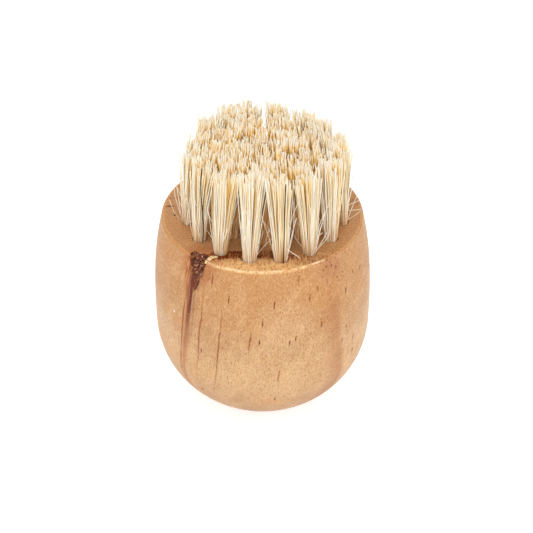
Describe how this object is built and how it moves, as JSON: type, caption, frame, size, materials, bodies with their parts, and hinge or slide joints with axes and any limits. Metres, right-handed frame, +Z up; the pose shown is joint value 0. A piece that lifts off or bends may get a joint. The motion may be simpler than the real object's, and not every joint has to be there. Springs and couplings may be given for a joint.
{
  "type": "facial brush",
  "caption": "Palm-held facial brush: an egg-shaped turned wooden block whose flat top carries rings of short, upright natural bristle tufts for dry or wet brushing of the face.",
  "frame": {"origin": "centre of the flat base that the brush stands on", "axes": "+Z up along the axis of the turned block, from the base to the bristles; -Y is the pictured front"},
  "size_m": [0.054, 0.054, 0.0736],
  "materials": {
    "wood": "satin clear lacquer",
    "bristle": "natural, undyed",
    "anchor_steel": "plain"
  },
  "bodies": {
    "root": {"wooden_block": "wood", "tuft_inner_01": "bristle", "tuft_inner_02": "bristle", "tuft_inner_03": "bristle", "tuft_inner_04": "bristle", "tuft_middle_01": "bristle", "tuft_middle_02": "bristle", "tuft_middle_03": "bristle", "tuft_middle_04": "bristle", "tuft_middle_05": "bristle", "tuft_middle_06": "bristle", "tuft_middle_07": "bristle", "tuft_middle_08": "bristle", "tuft_middle_09": "bristle", "tuft_outer_01": "bristle", "tuft_outer_02": "bristle", "tuft_outer_03": "bristle", "tuft_outer_04": "bristle", "tuft_outer_05": "bristle", "tuft_outer_06": "bristle", "tuft_outer_07": "bristle", "tuft_outer_08": "bristle", "tuft_outer_09": "bristle", "tuft_outer_10": "bristle", "tuft_outer_11": "bristle", "tuft_outer_12": "bristle", "tuft_outer_13": "bristle", "tuft_outer_14": "bristle", "tuft_outer_15": "bristle", "tuft_outer_16": "bristle", "anchor_inner_01": "anchor_steel", "anchor_inner_02": "anchor_steel", "anchor_inner_03": "anchor_steel", "anchor_inner_04": "anchor_steel", "anchor_middle_01": "anchor_steel", "anchor_middle_02": "anchor_steel", "anchor_middle_03": "anchor_steel", "anchor_middle_04": "anchor_steel", "anchor_middle_05": "anchor_steel", "anchor_middle_06": "anchor_steel", "anchor_middle_07": "anchor_steel", "anchor_middle_08": "anchor_steel", "anchor_middle_09": "anchor_steel", "anchor_outer_01": "anchor_steel", "anchor_outer_02": "anchor_steel", "anchor_outer_03": "anchor_steel", "anchor_outer_04": "anchor_steel", "anchor_outer_05": "anchor_steel", "anchor_outer_06": "anchor_steel", "anchor_outer_07": "anchor_steel", "anchor_outer_08": "anchor_steel", "anchor_outer_09": "anchor_steel", "anchor_outer_10": "anchor_steel", "anchor_outer_11": "anchor_steel", "anchor_outer_12": "anchor_steel", "anchor_outer_13": "anchor_steel", "anchor_outer_14": "anchor_steel", "anchor_outer_15": "anchor_steel", "anchor_outer_16": "anchor_steel"}
  },
  "joints": []
}
